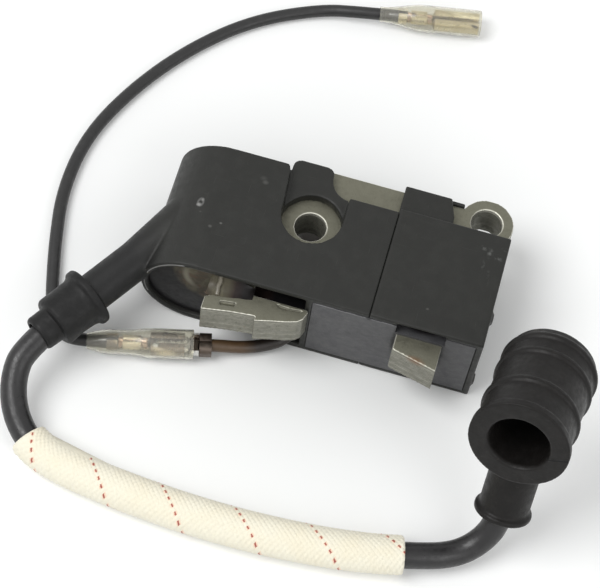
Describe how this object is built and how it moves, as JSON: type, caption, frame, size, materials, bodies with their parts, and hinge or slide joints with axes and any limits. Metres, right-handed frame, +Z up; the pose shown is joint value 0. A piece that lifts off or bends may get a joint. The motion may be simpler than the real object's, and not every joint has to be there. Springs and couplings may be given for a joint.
{
  "type": "ignition coil",
  "caption": "Ignition coil module for a small engine: moulded housing on a laminated steel core, sleeved high-tension lead with plug boot, and an unplugging stop lead.",
  "frame": {"origin": "axis of the left mounting hole at the underside of the steel core", "axes": "+Z up along the mounting hole, +X along the core's back bar toward the second hole, +Y away from the flywheel"},
  "size_m": [0.0993, 0.1186, 0.0425],
  "materials": {
    "housing": "moulded, lightly scuffed",
    "steel": "stamped laminations, light rust",
    "amber_resin": "cast, translucent",
    "grey_resin": "cast, flush",
    "former": "moulded",
    "copper": "enamelled wire",
    "brass": "plain",
    "tinned": "tinned",
    "rubber": "moulded, matt",
    "lead_cover": "extruded, semi-matt",
    "glass_braid": "woven with one red tracer",
    "brown_cover": "extruded",
    "wire_cover": "extruded",
    "clear_cover": "clear",
    "board": "lacquered",
    "component": "dipped",
    "spring_steel": "drawn"
  },
  "bodies": {
    "module_body": {"coil_housing": "housing", "module_housing": "housing", "core_yoke": "steel", "core_leg": "steel", "primary_bobbin": "former", "primary_winding": "copper", "secondary_bobbin": "former", "secondary_winding": "copper", "coil_potting": "amber_resin", "module_potting": "grey_resin", "circuit_board": "board", "capacitor": "component", "thyristor": "component", "resistor": "component", "diode": "component", "trigger_bobbin": "former", "trigger_winding": "copper", "ht_terminal": "brass", "ground_tab": "tinned", "tower_grommet": "rubber", "ht_lead": "lead_cover", "fibreglass_sleeve": "glass_braid", "brown_lead": "brown_cover", "male_terminal": "tinned"},
    "plug_boot_body": {"plug_boot": "rubber", "plug_spring_clip": "spring_steel"},
    "kill_lead_body": {"lower_receptacle": "brass", "lower_clear_sleeve": "clear_cover", "kill_wire": "wire_cover", "upper_receptacle": "brass", "upper_clear_sleeve": "clear_cover"}
  },
  "joints": [
    {"name": "boot_swivel", "type": "hinge", "parent": "module_body", "child": "plug_boot_body", "pos_m": [0.044, -0.0393, 0.00142], "axis": [0.0079, 0.5692, 0.8221], "range_deg": [-90, 90]},
    {"name": "stop_lead_unplug", "type": "slide", "parent": "module_body", "child": "kill_lead_body", "axis": [-0.9656, -0.26, 0], "range_m": [0, 0.008]}
  ]
}
